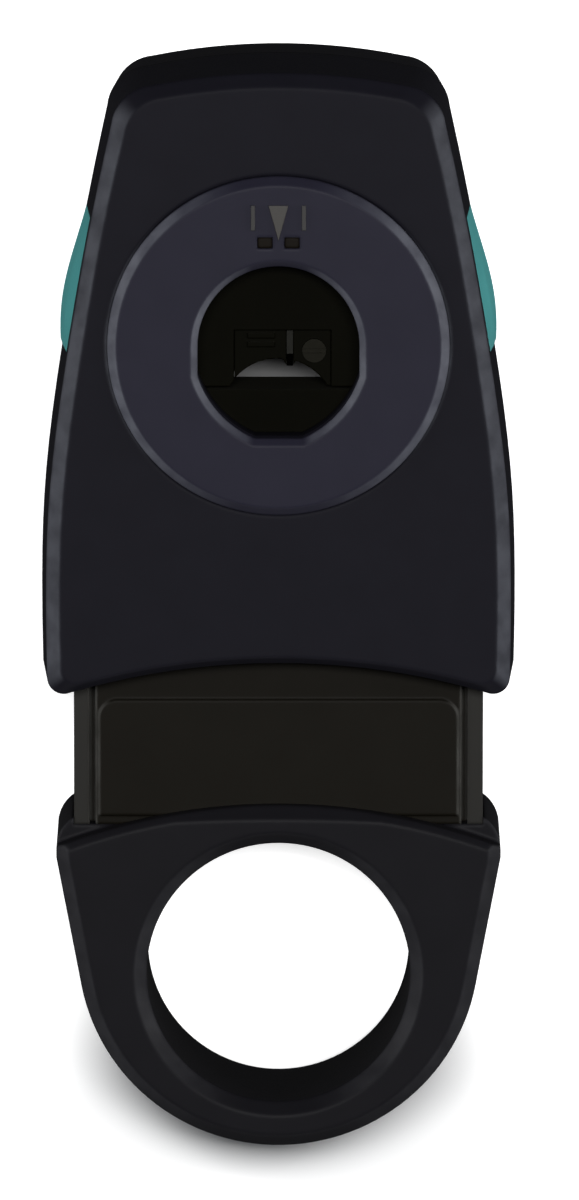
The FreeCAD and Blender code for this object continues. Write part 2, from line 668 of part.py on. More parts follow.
def guide_disc():
    """Guide disc on its seat in the front shell."""
    base = "Dims.housing_depth - Dims.disc_seat"
    thickness = "(Dims.disc_seat + Dims.disc_rise)"
    body = new_body("guide_disc", ("0", "Dims.hole_height", base))
    rim = new_sketch(body, "XY_Plane")
    draw_circle(rim, "0", "0", "Dims.disc_radius")
    pad(body, rim, thickness)
    face = evaluate(thickness)
    dress(body, "Chamfer", "Dims.disc_bevel", lambda p: near(p.z, face))
    hole = new_sketch(body, "XY_Plane", thickness)
    draw_keyhole(hole, "0")
    pocket(body, hole, thickness)
    reach = (size("hole_drop") + size("disc_radius")) / 2
    dress(body, "Chamfer", "Dims.hole_bevel",
          lambda p: near(p.z, face) and math.hypot(p.x, p.y) < reach)
    notches = new_sketch(body, "XY_Plane", thickness)
    for sign in ("-", ""):
        middle = f"{sign}Dims.notch_offset"
        draw_box(notches, f"{middle} - Dims.notch_length / 2", f"{middle} + Dims.notch_length / 2",
                 "Dims.notch_low", "Dims.notch_low + Dims.notch_height")
    pocket(body, notches, "Dims.notch_depth")
    return body


def disc_mark():
    """Raised mark above the hole: a pointer between two short bars."""
    base = "Dims.housing_depth + Dims.disc_rise"
    centre = "Dims.hole_height"
    low, high = f"{centre} + Dims.mark_low", f"{centre} + Dims.mark_high"
    bars = []
    for side, left in (("left", "-Dims.mark_width / 2"), ("right", "Dims.mark_width / 2 - Dims.mark_bar")):
        bars.append(new_box(f"mark_bar_{side}", left, f"{left} + Dims.mark_bar", low, high,
                            base, f"{base} + Dims.mark_rise"))
    pointer = new_body("mark_pointer", ("0", centre, base))
    sketch = new_sketch(pointer, "XY_Plane")
    half = "Dims.mark_pointer / 2"
    draw_outline(sketch, [("0", "Dims.mark_tip"), (half, "Dims.mark_high"), (f"-{half}", "Dims.mark_high")])
    pad(pointer, sketch, "Dims.mark_rise")
    return join("disc_mark", bars + [pointer])


# Fixed lower jaw, its pins, the guide rods and the housing screws.

def anvil_jaw():
    """Lower jaw: a flat-topped block whose foot bears on the front shell."""
    body = new_body("anvil_jaw")
    sketch = new_sketch(body, "YZ_Plane")
    draw_outline(sketch, [
        (ANVIL_FOOT, JAW_BACK),
        (ANVIL_TOP, JAW_BACK),
        (ANVIL_TOP, JAW_FRONT),
        (f"{ANVIL_FOOT} + Dims.anvil_foot", JAW_FRONT),
        (f"{ANVIL_FOOT} + Dims.anvil_foot", JAW_WALL),
        (ANVIL_FOOT, JAW_WALL),
    ])
    pad(body, sketch, "(Dims.window_half_width - Dims.running_gap) * 2", symmetric=True)
    holes = new_sketch(body, "XY_Plane", JAW_BACK)
    for sign in ("-", ""):
        draw_circle(holes, f"{sign}Dims.dowel_offset", DOWEL_Y, "Dims.dowel_radius")
    pocket(body, holes, "Dims.jaw_depth / 2", reversed_cut=True)
    return body


def anvil_pins():
    """Two dowels through the pillar into the lower jaw."""
    length = f"{JAW_BACK} + Dims.jaw_depth / 2 - {STEM_BACK}"
    return join("anvil_pins", both_sides(lambda side, sign: new_cylinder(
        f"anvil_pin_{side}", "Dims.dowel_radius", length,
        (f"{sign}Dims.dowel_offset", DOWEL_Y, STEM_BACK))))


def spring_guide_rods():
    """Rods inside the springs, held between the shells."""
    free = "(Dims.spring_pocket - Dims.running_gap - Dims.top_gap)"
    return join("spring_guide_rods", both_sides(lambda side, sign: new_cylinder(
        f"rod_{side}", "Dims.rod_radius", f"{free} + Dims.rod_hold",
        (f"{sign}Dims.spring_offset", f"{ABUTMENT} - {free}", MID), along_y=True)))


def housing_screws():
    """Four screws from the back, heads sunk in the rear shell."""
    top = f"({MID} + Dims.screw_bite)"
    heads = "Dims.screw_sink"
    pieces = []
    for index, (x, y) in enumerate(SCREW_PLACES):
        head = new_cylinder(f"housing_screw_head_{index}", "Dims.screw_head", "Dims.screw_head_height",
                            (x, y, heads))
        shank = new_cylinder(f"housing_screw_shank_{index}", "Dims.screw_shank",
                             f"{top} - Dims.screw_sink", (x, y, heads))
        pieces.append(join(f"housing_screw_{index}", [head, shank]))
    return join("housing_screws", pieces)


# Slider: stem, legs and crossbar in one moulding, with rails, grooves and the label panel.

def slider_frame():
    """Stem with two legs and a crossbar round the lower jaw."""
    body = new_body("slider_frame")
    plan = new_sketch(body, "XY_Plane", MID)
    draw_outline(plan, [
        ("-Dims.stem_half_width", SOCKET),
        ("Dims.stem_half_width", SOCKET),
        ("Dims.stem_half_width", "Dims.stem_top"),
        (LEG_OUTSIDE, "Dims.stem_top"),
        (LEG_OUTSIDE, CROSSBAR_TOP),
        (f"-{LEG_OUTSIDE}", CROSSBAR_TOP),
        (f"-{LEG_OUTSIDE}", "Dims.stem_top"),
        ("-Dims.stem_half_width", "Dims.stem_top"),
    ])
    draw_box(plan, "-Dims.window_half_width", "Dims.window_half_width", "Dims.window_foot", JAW_TOP)
    pad(body, plan, "Dims.stem_depth", symmetric=True)
    head = evaluate(CROSSBAR_TOP)
    leg = evaluate(LEG_OUTSIDE)
    dress(body, "Fillet", "Dims.crossbar_corner", lambda p: near(p.y, head) and near(abs(p.x), leg))
    top = size("stem_top")
    half = size("stem_half_width")
    dress(body, "Chamfer", "Dims.stem_corner", lambda p: near(p.y, top) and near(abs(p.x), half))
    tongues = new_sketch(body, "XY_Plane", MID)
    for sign in ("-", ""):
        draw_box(tongues, f"{sign}Dims.tongue_offset - Dims.tongue_width / 2",
                 f"{sign}Dims.tongue_offset + Dims.tongue_width / 2", TONGUE_END, f"{SOCKET} + 1")
    pad(body, tongues, "Dims.tongue_depth", symmetric=True)
    pins = new_sketch(body, "XY_Plane", MID)
    for sign in ("-", ""):
        draw_circle(pins, f"{sign}Dims.tongue_offset", f"{TONGUE_END} + Dims.tongue_length / 2",
                    "Dims.pin_radius")
    pocket(body, pins, "Dims.tongue_depth * 2", symmetric=True)
    grooves = new_sketch(body, "XY_Plane", STEM_FRONT)
    outer = "(Dims.stem_half_width - Dims.rail_width)"
    inner = f"({outer} - Dims.groove_width)"
    low = f"{SOCKET} - 1"
    high = "Dims.stem_top + 1"
    draw_box(grooves, f"-{outer}", f"-{inner}", low, high)
    draw_box(grooves, inner, outer, low, high)
    pocket(body, grooves, "Dims.groove_depth")
    springs = new_sketch(body, "XZ_Plane", "-Dims.stem_top")
    for sign in ("-", ""):
        draw_circle(springs, f"{sign}Dims.spring_offset", MID, "Dims.spring_radius + Dims.spring_fit")
    pocket(body, springs, "Dims.spring_pocket", reversed_cut=True)
    screws = new_sketch(body, "XZ_Plane", f"-{CROSSBAR_TOP}")
    for sign in ("-", ""):
        draw_circle(screws, f"{sign}Dims.small_screw_offset", JAW_SCREW_Z, "Dims.small_head + Dims.seat_gap")
    pocket(body, screws, "Dims.small_head_height", reversed_cut=True)
    shanks = new_sketch(body, "XZ_Plane", f"-{CROSSBAR_TOP}")
    for sign in ("-", ""):
        draw_circle(shanks, f"{sign}Dims.small_screw_offset", JAW_SCREW_Z, "Dims.small_shank + Dims.seat_gap")
    pocket(body, shanks, "Dims.crossbar_height", reversed_cut=True)
    panel = new_sketch(body, "XY_Plane", STEM_FRONT)
    edge = f"({inner} - Dims.groove_width / 2)"
    draw_box(panel, f"-{edge}", edge, f"{RING_TOP} - Dims.ring_bevel", "-Dims.panel_top")
    pad(body, panel, "Dims.panel_rise")
    side = evaluate(edge)
    upper = -size("panel_top")
    dress(body, "Fillet", "Dims.panel_corner", lambda p: near(abs(p.x), side) and near(p.y, upper))
    return body


# Finger ring: a round end with straight flanks, ears beside the stem and a large bore.

def draw_ring(sketch):
    """Outline of the ring: round end, straight flanks, ears and a gently arched top."""
    ear, drop = size("ear_half_width"), -size("ear_drop")
    centre, radius = -size("ring_centre"), size("ring_radius")
    reach = math.hypot(ear, drop - centre)
    turn = math.atan2(drop - centre, ear) - math.acos(radius / reach)
    touch = Vector(radius * math.cos(turn), centre + radius * math.sin(turn), 0)
    top_radius = size("ring_top_arc")
    top_centre = -size("ring_top") - top_radius
    ear_top = top_centre + math.sqrt(top_radius ** 2 - ear ** 2)
    right = [touch, Vector(ear, drop, 0), Vector(ear, ear_top, 0)]
    left = [Vector(-point.x, point.y, 0) for point in right]
    bottom_circle = Part.Circle(Vector(0, centre, 0), Vector(0, 0, 1), radius)
    top_circle = Part.Circle(Vector(0, top_centre, 0), Vector(0, 0, 1), top_radius)
    angle = math.atan2(ear_top - top_centre, ear)
    bottom = sketch.addGeometry(Part.ArcOfCircle(bottom_circle, math.pi - turn, 2 * math.pi + turn))
    flank = sketch.addGeometry(Part.LineSegment(right[0], right[1]))
    ear_side = sketch.addGeometry(Part.LineSegment(right[1], right[2]))
    top = sketch.addGeometry(Part.ArcOfCircle(top_circle, angle, math.pi - angle))
    other_side = sketch.addGeometry(Part.LineSegment(left[2], left[1]))
    other_flank = sketch.addGeometry(Part.LineSegment(left[1], left[0]))
    for joint in ((flank, 2, ear_side, 1), (ear_side, 2, top, 1), (top, 2, other_side, 1),
                  (other_side, 2, other_flank, 1)):
        sketch.addConstraint(Sketcher.Constraint("Coincident", *joint))
    sketch.addConstraint(Sketcher.Constraint("Tangent", bottom, 2, flank, 1))
    sketch.addConstraint(Sketcher.Constraint("Tangent", other_flank, 2, bottom, 1))
    pin_point(sketch, bottom, 3, ("0", "-Dims.ring_centre"))
    bind(sketch, Sketcher.Constraint("Radius", bottom, radius), "Dims.ring_radius")
    pin_point(sketch, ear_side, 1, ("Dims.ear_half_width", "-Dims.ear_drop"))
    pin_point(sketch, other_side, 2, ("-Dims.ear_half_width", "-Dims.ear_drop"))
    pin_point(sketch, top, 3, ("0", "-Dims.ring_top - Dims.ring_top_arc"))
    bind(sketch, Sketcher.Constraint("Radius", top, top_radius), "Dims.ring_top_arc")
    for line, point, sign in ((ear_side, 2, ""), (other_side, 1, "-")):
        place = f"{sign}Dims.ear_half_width"
        bind(sketch, Sketcher.Constraint("DistanceX", -1, 1, line, point, evaluate(place)), place)
    return ear_top


def finger_ring():
    """Ring with a socket for the stem's end and tongues."""
    body = new_body("finger_ring")
    plan = new_sketch(body, "XY_Plane", MID)
    ear_top = draw_ring(plan)
    pad(body, plan, "Dims.ring_depth", symmetric=True)
    ear = size("ear_half_width")
    dress(body, "Fillet", "Dims.ear_corner", lambda p: near(abs(p.x), ear) and near(p.y, ear_top))
    bore = new_sketch(body, "XY_Plane", MID)
    draw_circle(bore, "0", "-Dims.bore_centre", "Dims.bore_radius")
    pocket(body, bore, "Dims.ring_depth + 2", symmetric=True)
    middle, half = evaluate(MID), size("ring_depth") / 2
    dress(body, "Chamfer", "Dims.ring_bevel", lambda p: near(abs(p.z - middle), half))
    socket = new_sketch(body, "XY_Plane", MID)
    reach = "(Dims.stem_half_width + Dims.seat_gap)"
    draw_box(socket, f"-{reach}", reach, SOCKET, f"{RING_TOP} + 2")
    pocket(body, socket, "Dims.stem_depth + Dims.panel_rise * 2 + Dims.seat_gap * 2", symmetric=True)
    tongues = new_sketch(body, "XY_Plane", MID)
    width = "Dims.tongue_width / 2 + Dims.seat_gap"
    for sign in ("-", ""):
        draw_box(tongues, f"{sign}Dims.tongue_offset - ({width})", f"{sign}Dims.tongue_offset + {width}",
                 f"{TONGUE_END} - Dims.seat_gap", f"{SOCKET} + 1")
    pocket(body, tongues, "Dims.tongue_depth + Dims.seat_gap * 2", symmetric=True)
    side = "(Dims.ear_half_width + 1)"
    foot = f"{RING_TOP} - Dims.shoulder_arc + sqrt(Dims.shoulder_arc ^ 2 - {side} ^ 2)"
    corners = [(side, foot), (side, f"{RING_TOP} + 1"), (f"-{side}", f"{RING_TOP} + 1"), (f"-{side}", foot)]
    for sign, flipped in (("+", False), ("-", True)):
        offset = f"{MID} {sign} Dims.ring_depth / 2"
        step = new_sketch(body, "XY_Plane", offset)
        draw_outline(step, corners, {3: ("Dims.shoulder_arc", -1)})
        pocket(body, step, "Dims.shoulder_step", reversed_cut=flipped)
    arc = size("shoulder_arc")
    arc_centre = -size("ring_top") - arc
    dress(body, "Chamfer", "Dims.ring_bevel / 2",
          lambda p: near(abs(p.z - middle), half) and near(math.hypot(p.x, p.y - arc_centre), arc))
    back = f"({MID} - Dims.ring_depth / 2)"
    pins = new_sketch(body, "XY_Plane", back)
    for sign in ("-", ""):
        draw_circle(pins, f"{sign}Dims.tongue_offset", f"{TONGUE_END} + Dims.tongue_length / 2",
                    "Dims.pin_radius")
    pocket(body, pins, "Dims.ring_depth - Dims.pin_skin", reversed_cut=True)
    return body


def ring_pins():
    """Two pins from the back through the ring and the tongues."""
    back = f"{MID} - Dims.ring_depth / 2 + Dims.running_gap"
    return join("ring_pins", both_sides(lambda side, sign: new_cylinder(
        f"ring_pin_{side}", "Dims.pin_radius", "Dims.ring_depth - Dims.pin_skin - Dims.running_gap",
        (f"{sign}Dims.tongue_offset", f"{TONGUE_END} + Dims.tongue_length / 2", back))))


# Upper jaw with the blade carrier, the two blades and their fastenings.

JAW_SCREW_Z = f"({JAW_FRONT} - Dims.jaw_depth / 2)"
JAW_SIDE = "(Dims.window_half_width - Dims.seat_gap)"
CARRIER_LEFT = "(Dims.carrier_offset - Dims.carrier_width / 2)"
CARRIER_RIGHT = "(Dims.carrier_offset + Dims.carrier_width / 2)"
CARRIER_TOP = "(Dims.hole_height + Dims.carrier_top)"
CARRIER_FRONT = f"({JAW_FRONT} - Dims.carrier_sink)"
CARRIER_BACK = f"({CARRIER_FRONT} - Dims.carrier_depth)"
CROSS_BACK = f"({JAW_BACK} - Dims.cross_thickness)"
CROSS_EDGE = f"({CROWN} - Dims.cross_reach)"
PLATE_BACK = f"({CROSS_BACK} - Dims.plate_thickness)"
PLATE_SCREW_Y = f"({CROSS_EDGE} + Dims.cross_height + Dims.small_shank + Dims.plate_margin)"
BLADE_SCREW_Y = "(Dims.hole_height - Dims.blade_screw_head)"
SLIT_LEFT = "(Dims.slit_offset - Dims.slit_thickness / 2)"
SLIT_RIGHT = "(Dims.slit_offset + Dims.slit_thickness / 2)"


def clamp_jaw():
    """Upper jaw with the arch, the carrier's pocket and screw holes."""
    body = new_body("clamp_jaw")
    plan = new_sketch(body, "XY_Plane", JAW_BACK)
    draw_box(plan, f"-{JAW_SIDE}", JAW_SIDE, LIPS, JAW_TOP)
    pad(body, plan, "Dims.jaw_depth")
    arch = new_sketch(body, "XY_Plane", JAW_FRONT)
    draw_circle(arch, "0", ARCH_CENTRE, "Dims.arch_radius")
    pocket(body, arch, "Dims.jaw_depth")
    seat = new_sketch(body, "XY_Plane", JAW_FRONT)
    draw_box(seat, CARRIER_LEFT, CARRIER_RIGHT, f"{LIPS} - 1", CARRIER_TOP)
    pocket(body, seat, f"{JAW_FRONT} - {CARRIER_BACK}")
    screws = new_sketch(body, "XZ_Plane", f"-{JAW_TOP}")
    for sign in ("-", ""):
        draw_circle(screws, f"{sign}Dims.small_screw_offset", JAW_SCREW_Z, "Dims.small_shank + Dims.seat_gap")
    pocket(body, screws, f"{JAW_TOP} - {CARRIER_TOP} - Dims.hole_wall", reversed_cut=True)
    holes = new_sketch(body, "XY_Plane", JAW_BACK)
    for sign in ("-", ""):
        draw_circle(holes, f"{sign}Dims.small_screw_offset", PLATE_SCREW_Y, "Dims.small_shank + Dims.seat_gap")
    pocket(body, holes, "Dims.plate_screw_bite + Dims.running_gap", reversed_cut=True)
    return body


def jaw_screws():
    """Two screws from the top of the crossbar down into the jaw."""
    seat = f"({CROSSBAR_TOP} - Dims.small_head_height)"
    end = f"({CARRIER_TOP} + Dims.hole_wall + Dims.running_gap)"
    pieces = []
    for side, sign in (("left", "-"), ("right", "")):
        x = f"{sign}Dims.small_screw_offset"
        head = new_cylinder(f"jaw_screw_head_{side}", "Dims.small_head",
                            "Dims.small_head_height - Dims.seat_gap",
                            (x, seat, JAW_SCREW_Z), along_y=True)
        shank = new_cylinder(f"jaw_screw_shank_{side}", "Dims.small_shank", f"{seat} - {end} + Dims.seat_gap",
                             (x, end, JAW_SCREW_Z), along_y=True)
        pieces.append(join(f"jaw_screw_{side}", [head, shank]))
    return join("jaw_screws", pieces)


def blade_carrier():
    """Block in the jaw that holds the slitting blade, ribbed on its left."""
    body = new_body("blade_carrier")
    plan = new_sketch(body, "XY_Plane", CARRIER_BACK)
    gap = "Dims.seat_gap"
    draw_box(plan, f"{CARRIER_LEFT} + {gap}", f"{CARRIER_RIGHT} - {gap}", LIPS, CARRIER_TOP)
    pad(body, plan, "Dims.carrier_depth")
    ribs = new_sketch(body, "XY_Plane", CARRIER_FRONT)
    for high in (f"{CARRIER_TOP} - Dims.rib_drop", f"{CARRIER_TOP} - Dims.rib_drop - Dims.rib_pitch"):
        draw_box(ribs, "-Dims.rib_left", "-Dims.rib_right", f"{high} - Dims.rib_height", high)
    pad(body, ribs, "Dims.carrier_sink / 2")
    arch = new_sketch(body, "XY_Plane", JAW_FRONT)
    draw_circle(arch, "0", ARCH_CENTRE, "Dims.arch_radius")
    pocket(body, arch, "Dims.jaw_depth")
    nose = new_sketch(body, "XY_Plane", CARRIER_BACK)
    root = f"{CROWN} + Dims.slit_shoulder"
    tip = f"{CROWN} - Dims.nose_drop"
    draw_outline(nose, [
        ("Dims.slit_offset - Dims.nose_width / 2", root),
        (SLIT_LEFT, tip),
        (SLIT_RIGHT, tip),
        ("Dims.slit_offset + Dims.nose_width / 2", root),
    ])
    pad(body, nose, "Dims.carrier_depth")
    slot = new_sketch(body, "XY_Plane", JAW_FRONT)
    draw_box(slot, f"{SLIT_LEFT} - {gap}", f"{SLIT_RIGHT} + {gap}", f"{LIPS} - 1", f"{CARRIER_TOP} + 1")
    pocket(body, slot, f"{JAW_FRONT} - {CARRIER_BACK} - Dims.blade_floor")
    hole = new_sketch(body, "XY_Plane", CARRIER_FRONT)
    draw_circle(hole, "Dims.blade_screw_offset", BLADE_SCREW_Y, f"Dims.blade_screw_head / 2 + {gap}")
    pocket(body, hole, "Dims.blade_screw_length + Dims.running_gap")
    return body


def slitting_blade():
    """Upright blade whose tip reaches below the arch."""
    body = new_body("slitting_blade", (SLIT_LEFT, "0", "0"))
    sketch = new_sketch(body, "YZ_Plane")
    back = f"{CARRIER_BACK} + Dims.blade_floor"
    front = f"{CARRIER_FRONT} - Dims.carrier_sink / 2"
    shoulder = f"{CROWN} + Dims.slit_shoulder"
    tip = f"{CROWN} - Dims.slit_reach"
    draw_outline(sketch, [
        (CARRIER_TOP, back),
        (CARRIER_TOP, front),
        (shoulder, front),
        (tip, f"{CARRIER_FRONT} - Dims.slit_tip_depth"),
        (tip, f"{CARRIER_FRONT} - Dims.slit_tip_depth - Dims.slit_tip_length"),
        (shoulder, back),
    ])
    pad(body, sketch, "Dims.slit_thickness")
    return body


def blade_screw():
    """Screw beside the slitting blade, its head on the carrier."""
    head = new_cylinder("blade_screw_head", "Dims.blade_screw_head", "Dims.blade_screw_rise",
                        ("Dims.blade_screw_offset", BLADE_SCREW_Y, CARRIER_FRONT))
    start = f"{CARRIER_FRONT} - Dims.blade_screw_length"
    shank = new_cylinder("blade_screw_shank", "Dims.blade_screw_head / 2",
                         "Dims.blade_screw_length + Dims.seat_gap",
                         ("Dims.blade_screw_offset", BLADE_SCREW_Y, start))
    return join("blade_screw", [head, shank])


def cross_cut_blade():
    """Blade across the cable, behind the upper jaw, ground to an edge."""
    body = new_body("cross_cut_blade", ("0", CROSS_EDGE, CROSS_BACK))
    plan = new_sketch(body, "YZ_Plane")
    draw_outline(plan, [
        ("0", "Dims.cross_thickness - Dims.cross_edge"),
        ("Dims.cross_grind", "0"),
        ("Dims.cross_height", "0"),
        ("Dims.cross_height", "Dims.cross_thickness"),
        ("0", "Dims.cross_thickness"),
    ])
    pad(body, plan, "Dims.cross_half_width * 2", symmetric=True)
    return body


def blade_clamp_plate():
    """Plate that holds the cross-cut blade against the jaw."""
    body = new_body("blade_clamp_plate")
    plan = new_sketch(body, "XY_Plane", PLATE_BACK)
    low = f"{CROSS_EDGE} + Dims.plate_rise"
    high = f"{PLATE_SCREW_Y} + Dims.small_head + Dims.running_gap"
    draw_box(plan, "-Dims.plate_half_width", "Dims.plate_half_width", low, high)
    pad(body, plan, "Dims.plate_thickness")
    holes = new_sketch(body, "XY_Plane", PLATE_BACK)
    for sign in ("-", ""):
        draw_circle(holes, f"{sign}Dims.small_screw_offset", PLATE_SCREW_Y, "Dims.small_shank + Dims.seat_gap")
    pocket(body, holes, "Dims.plate_thickness", reversed_cut=True)
    half, back = size("plate_half_width"), evaluate(PLATE_BACK)
    dress(body, "Chamfer", "Dims.plate_thickness / 2",
          lambda p: near(abs(p.x), half) and near(p.z, back))
    return body


def clamp_plate_screws():
    """Two screws through the plate into the back of the jaw."""
    pieces = []
    for side, sign in (("left", "-"), ("right", "")):
        place = (f"{sign}Dims.small_screw_offset", PLATE_SCREW_Y)
        head = new_cylinder(f"plate_screw_head_{side}", "Dims.small_head", "Dims.small_head_height",
                            place + (f"{PLATE_BACK} - Dims.small_head_height",))
        reach = "Dims.plate_thickness + Dims.cross_thickness + Dims.plate_screw_bite"
        shank = new_cylinder(f"plate_screw_shank_{side}", "Dims.small_shank", f"{reach} + Dims.seat_gap",
                             place + (f"{PLATE_BACK} - Dims.seat_gap",))
        pieces.append(join(f"plate_screw_{side}", [head, shank]))
    return join("clamp_plate_screws", pieces)


# Return springs, from the bottom of their pockets to the shells.

def coil_shape(height):
    """Coil of short wire pieces, standing along Z on its own axis."""
    pieces, sides = 8, 5
    wire = size("spring_wire") / 2
    radius = size("spring_radius") - wire
    steps = int(round(size("spring_turns") * pieces))
    rise = height / steps
    slope = math.atan2(rise * pieces, 2 * math.pi * radius)
    sections = []
    for step in range(steps + 1):
        turn = 2 * math.pi * step / pieces
        outward = Vector(math.cos(turn), math.sin(turn), 0)
        along = Vector(-math.sin(turn) * math.cos(slope), math.cos(turn) * math.cos(slope), math.sin(slope))
        upward = along.cross(outward)
        centre = outward * radius + Vector(0, 0, rise * step)
        corners = []
        for side in range(sides + 1):
            angle = 2 * math.pi * side / sides
            corners.append(centre + outward * wire * math.cos(angle) + upward * wire * math.sin(angle))
        sections.append(Part.makePolygon(corners))
    return Part.makeLoft(sections, True, True)


def return_spring(side, sign):
    """Helical spring standing in the stem's pocket, up to the shells."""
    foot = "(Dims.stem_top - Dims.spring_pocket)"
    spring = doc.addObject("Part::Feature", f"return_spring_{side}")
    spring.Shape = coil_shape(evaluate(f"{ABUTMENT} - {foot} - Dims.spring_wire"))
    spring.Placement.Rotation = FreeCAD.Rotation(Vector(1, 0, 0), -90)
    places = (f"{sign}Dims.spring_offset", f"{foot} + Dims.spring_wire / 2", MID)
    for axis, expression in zip("xyz", places):
        spring.setExpression(f"Placement.Base.{axis}", expression)
    return spring


NODES = grips + [
    front,
    rear,
    guide_disc(),
    disc_mark(),
    anvil_jaw(),
    anvil_pins(),
    spring_guide_rods(),
    housing_screws(),
    slider_frame(),
    finger_ring(),
    ring_pins(),
    clamp_jaw(),
    jaw_screws(),
    blade_carrier(),
    slitting_blade(),
    blade_screw(),
    cross_cut_blade(),
    blade_clamp_plate(),
    clamp_plate_screws(),
] + both_sides(return_spring)

doc.recompute()

for item in doc.Objects:
    if "Invalid" in item.State or "Error" in item.State:
        raise RuntimeError(f"{item.Name} failed: {item.State}")
os.makedirs("parts", exist_ok=True)
for node in NODES:
    if node.Shape.isNull() or not node.Shape.isValid() or not node.Shape.Solids:
        raise RuntimeError(f"{node.Label} has no valid solid")
    node.Shape.exportStep(f"parts/{node.Label}.step")
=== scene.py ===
import math

import bmesh
import bpy
from mathutils import Matrix, Vector


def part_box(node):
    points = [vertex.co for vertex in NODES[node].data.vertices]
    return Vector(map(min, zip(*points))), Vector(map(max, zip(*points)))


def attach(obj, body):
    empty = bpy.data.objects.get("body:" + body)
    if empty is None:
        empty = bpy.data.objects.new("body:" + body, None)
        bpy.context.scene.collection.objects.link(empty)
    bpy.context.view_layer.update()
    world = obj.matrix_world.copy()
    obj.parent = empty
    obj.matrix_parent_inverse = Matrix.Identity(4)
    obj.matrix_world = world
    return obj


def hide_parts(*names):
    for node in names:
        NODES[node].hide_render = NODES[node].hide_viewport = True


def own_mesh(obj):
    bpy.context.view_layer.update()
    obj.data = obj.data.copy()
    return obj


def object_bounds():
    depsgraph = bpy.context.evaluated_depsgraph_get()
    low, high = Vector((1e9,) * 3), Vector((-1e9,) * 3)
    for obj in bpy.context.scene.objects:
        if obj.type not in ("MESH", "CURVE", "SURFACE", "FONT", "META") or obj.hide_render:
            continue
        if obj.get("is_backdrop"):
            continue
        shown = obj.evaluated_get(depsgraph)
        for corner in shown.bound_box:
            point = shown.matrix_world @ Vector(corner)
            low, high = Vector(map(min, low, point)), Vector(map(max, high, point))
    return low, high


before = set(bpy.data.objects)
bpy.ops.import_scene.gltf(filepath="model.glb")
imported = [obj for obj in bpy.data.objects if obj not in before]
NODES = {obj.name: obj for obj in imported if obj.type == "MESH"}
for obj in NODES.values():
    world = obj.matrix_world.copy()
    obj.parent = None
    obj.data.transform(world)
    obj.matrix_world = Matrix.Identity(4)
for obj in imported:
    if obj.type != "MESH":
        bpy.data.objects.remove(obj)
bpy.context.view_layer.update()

# Looks of the cable stripper: finishes, moulding details, springs and screws, light and camera.
# All places are in metres, in the frame of the part: it lies on its back, head towards +Y.

MM = 0.001
scene = bpy.context.scene


# Sizes that the scene takes over from the part

HOUSING_DEPTH = 23.5 * MM
RAIL_INSIDE, RAIL_OUTSIDE = 17.9 * MM, 18.7 * MM
BAR_INSIDE, BAR_OUTSIDE = 1.6 * MM, 1.9 * MM
NOTCH_LOW, NOTCH_HIGH = 9.6 * MM, 10.7 * MM
NOTCH_MIDDLE, NOTCH_HALF, NOTCH_DEPTH = 1.3 * MM, 0.75 * MM, 0.4 * MM
SPRING_SEAT = 16.0 * MM
SPRING_LENGTH = 23.0 * MM
SPRING_WIRE, SPRING_TURNS = 0.70 * MM, 7.0


# Building blocks of the materials

def feed(tree, value, socket):
    """Gives a socket a number or a tone, or links it to another socket."""
    if isinstance(value, bpy.types.NodeSocket):
        tree.links.new(value, socket)
    elif isinstance(value, tuple):
        socket.default_value = (*value, 1)
    else:
        socket.default_value = value


def new_material(name, colour, roughness):
    """A node material with a Principled shader; returns its tree and shader too."""
    material = bpy.data.materials.new(name)
    material.use_nodes = True
    tree = material.node_tree
    shader = tree.nodes["Principled BSDF"]
    feed(tree, colour, shader.inputs["Base Color"])
    feed(tree, roughness, shader.inputs["Roughness"])
    return material, tree, shader


def split(tree, vector):
    """The three axes of a vector, as sockets."""
    node = tree.nodes.new("ShaderNodeSeparateXYZ")
    tree.links.new(vector, node.inputs["Vector"])
    return node.outputs


def coordinate(tree, kind, axis):
    """One axis of the place on the piece (kind Object) or of its normal (kind Normal)."""
    source = tree.nodes.new("ShaderNodeTexCoord")
    return split(tree, source.outputs[kind])[axis]


def noise(tree, scale, detail, stretch=None):
    """Noise over the piece's own coordinates, stretched along its axes where that is given."""
    place = tree.nodes.new("ShaderNodeTexCoord").outputs["Object"]
    if stretch:
        mapping = tree.nodes.new("ShaderNodeMapping")
        mapping.inputs["Scale"].default_value = stretch
        tree.links.new(place, mapping.inputs["Vector"])
        place = mapping.outputs["Vector"]
    texture = tree.nodes.new("ShaderNodeTexNoise")
    feed(tree, scale, texture.inputs["Scale"])
    feed(tree, detail, texture.inputs["Detail"])
    tree.links.new(place, texture.inputs["Vector"])
    return texture.outputs[0]


def calculate(tree, operation, *values):
    """Result of a math node over sockets and numbers."""
    node = tree.nodes.new("ShaderNodeMath")
    node.operation = operation
    for value, socket in zip(values, node.inputs):
        feed(tree, value, socket)
    return node.outputs["Value"]


def map_range(tree, value, start, full, low=0.0, high=1.0, soft=True):
    """Low at one value and high at the other, with a soft or a straight passage between."""
    span = tree.nodes.new("ShaderNodeMapRange")
    span.interpolation_type = "SMOOTHSTEP" if soft else "LINEAR"
    for name, number in (("From Min", start), ("From Max", full), ("To Min", low), ("To Max", high)):
        feed(tree, number, span.inputs[name])
    tree.links.new(value, span.inputs["Value"])
    return span.outputs["Result"]


def mix_tones(tree, share, first, second):
    """Blend from a first colour to a second one, each a tone or a socket."""
    mix = tree.nodes.new("ShaderNodeMix")
    mix.data_type = "RGBA"
    feed(tree, share, mix.inputs["Factor"])
    feed(tree, first, mix.inputs["A"])
    feed(tree, second, mix.inputs["B"])
    return mix.outputs["Result"]


